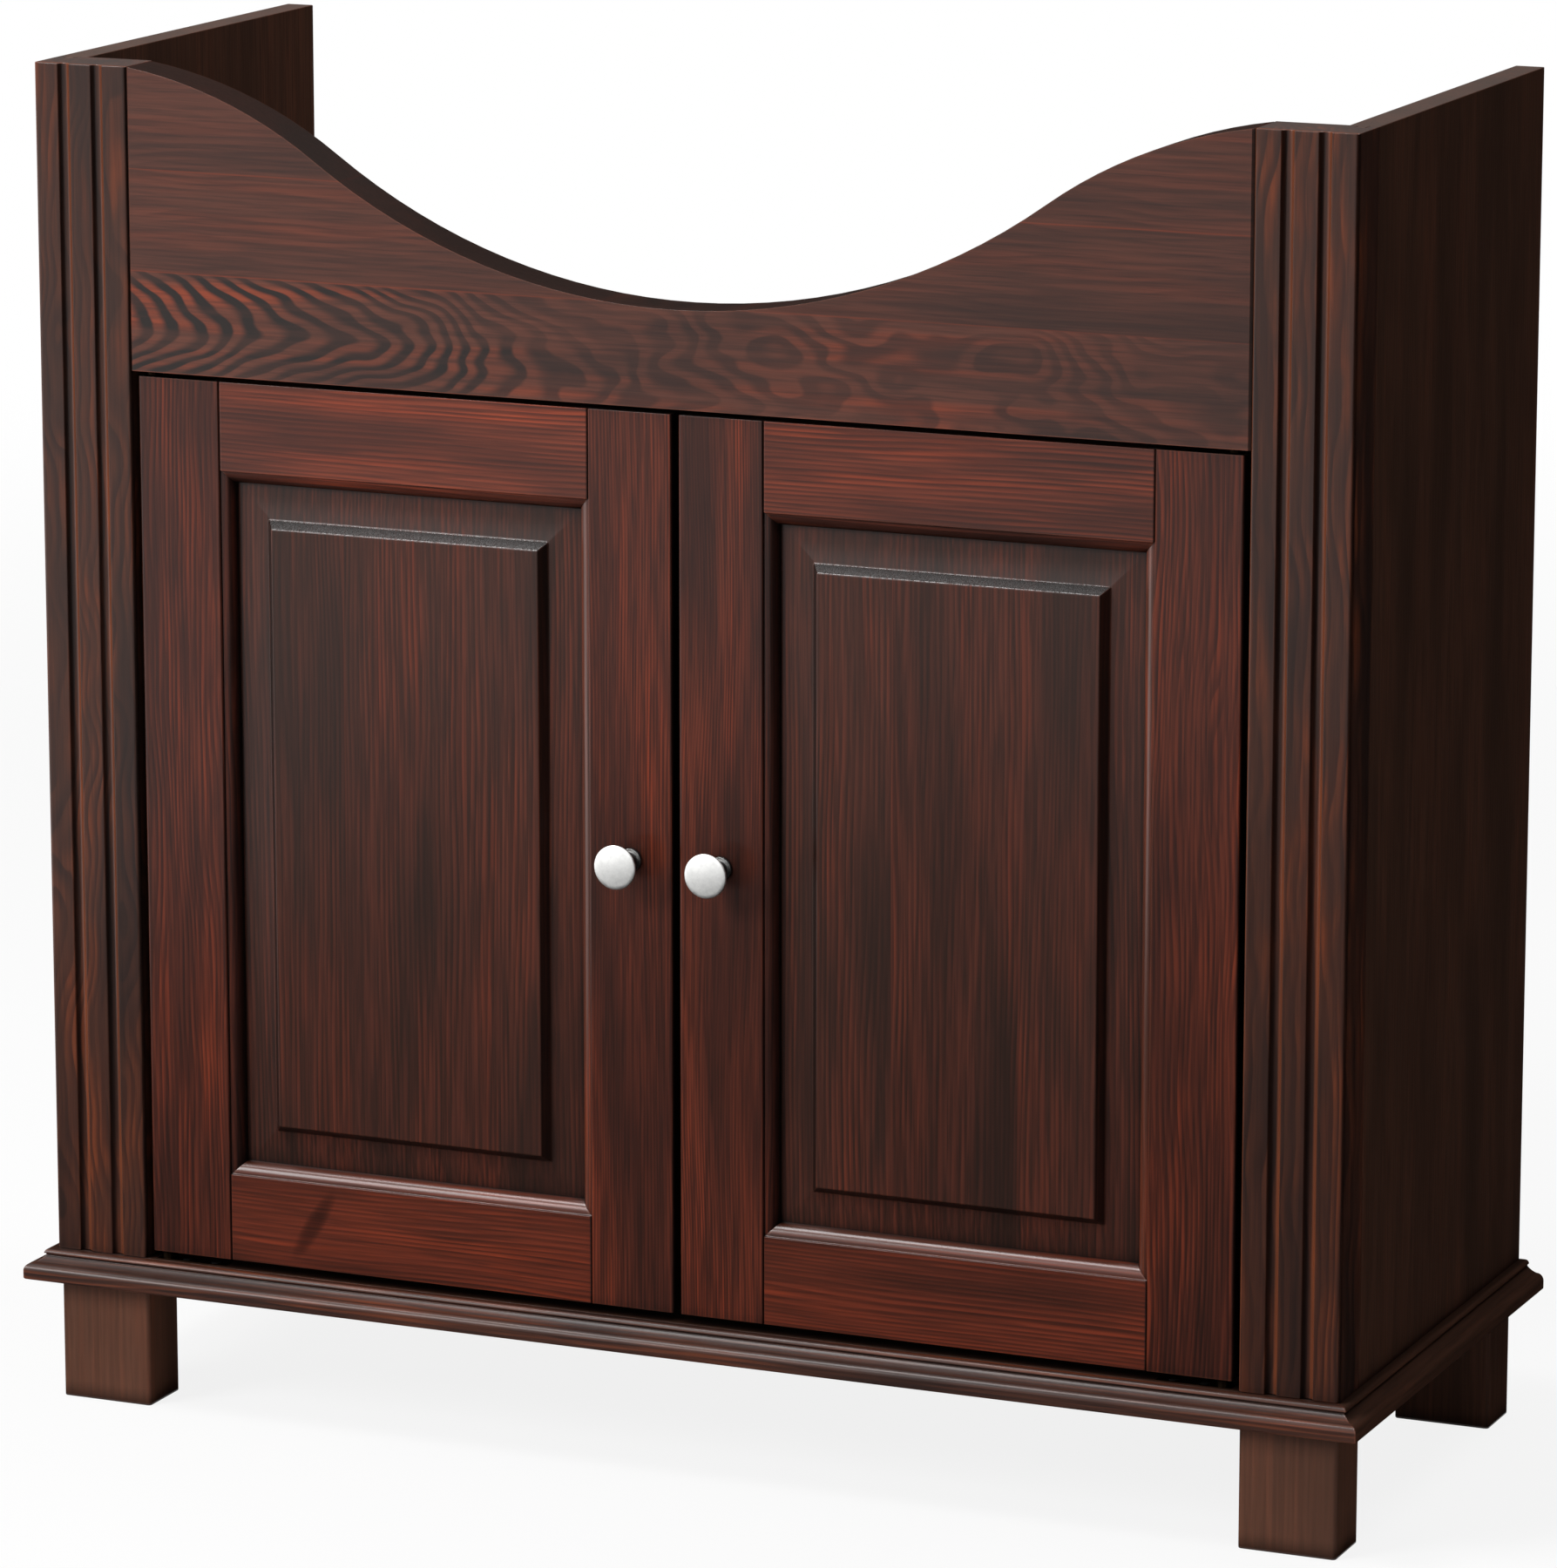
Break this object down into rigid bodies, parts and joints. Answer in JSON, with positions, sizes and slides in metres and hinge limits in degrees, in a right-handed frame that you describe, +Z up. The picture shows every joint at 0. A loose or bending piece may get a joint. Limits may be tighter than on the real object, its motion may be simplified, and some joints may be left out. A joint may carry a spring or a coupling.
{
  "type": "washbasin base cabinet",
  "caption": "Low wooden washbasin cabinet with an open top and back, fluted posts, an apron with an S-curved dip, inset raised-panel doors on pivot hinges, a base moulding and square feet.",
  "frame": {"origin": "on the floor, under the middle of the box round the whole cabinet, knobs included", "axes": "+X along the front to the viewer's right, +Y from the doors to the wall, +Z up"},
  "size_m": [0.6748, 0.2776, 0.645],
  "materials": {
    "stained_pine": "dark walnut stain under satin lacquer",
    "beech": "plain beech",
    "satin_nickel": "satin",
    "hinge_brass": "rolled",
    "plated_steel": "zinc plated",
    "catch_plastic": "moulded",
    "ferrite": "sintered"
  },
  "bodies": {
    "carcass": {"base_panel": "stained_pine", "front_moulding": "stained_pine", "apron": "stained_pine", "upper_back_rail": "stained_pine", "lower_back_rail": "stained_pine", "left_front_foot": "stained_pine", "left_rear_foot": "stained_pine", "left_moulding": "stained_pine", "left_pilaster": "stained_pine", "left_side_panel": "stained_pine", "left_lower_pivot": "hinge_brass", "left_upper_pivot": "hinge_brass", "right_front_foot": "stained_pine", "right_rear_foot": "stained_pine", "right_moulding": "stained_pine", "right_pilaster": "stained_pine", "right_side_panel": "stained_pine", "right_lower_pivot": "hinge_brass", "right_upper_pivot": "hinge_brass", "foot_dowels": "beech", "carcass_dowels": "beech", "pivot_screws": "plated_steel", "catch_screws": "plated_steel", "catch_housing": "catch_plastic", "catch_magnets": "ferrite"},
    "left_door": {"left_door_hinge_stile": "stained_pine", "left_door_meeting_stile": "stained_pine", "left_door_bottom_rail": "stained_pine", "left_door_top_rail": "stained_pine", "left_door_panel": "stained_pine", "left_door_knob": "satin_nickel", "left_door_knob_screw": "plated_steel", "left_door_lower_leaf": "hinge_brass", "left_door_upper_leaf": "hinge_brass", "left_door_leaf_screws": "plated_steel", "left_door_strike": "plated_steel", "left_door_strike_screw": "plated_steel"},
    "right_door": {"right_door_hinge_stile": "stained_pine", "right_door_meeting_stile": "stained_pine", "right_door_bottom_rail": "stained_pine", "right_door_top_rail": "stained_pine", "right_door_panel": "stained_pine", "right_door_knob": "satin_nickel", "right_door_knob_screw": "plated_steel", "right_door_lower_leaf": "hinge_brass", "right_door_upper_leaf": "hinge_brass", "right_door_leaf_screws": "plated_steel", "right_door_strike": "plated_steel", "right_door_strike_screw": "plated_steel"}
  },
  "joints": [
    {"name": "left_door_hinge", "type": "hinge", "parent": "carcass", "child": "left_door", "pos_m": [-0.268, -0.11375, 0.28925], "axis": [0, 0, -1], "range_deg": [0, 100]},
    {"name": "right_door_hinge", "type": "hinge", "parent": "carcass", "child": "right_door", "pos_m": [0.268, -0.11375, 0.28925], "axis": [0, 0, 1], "range_deg": [0, 100]}
  ]
}
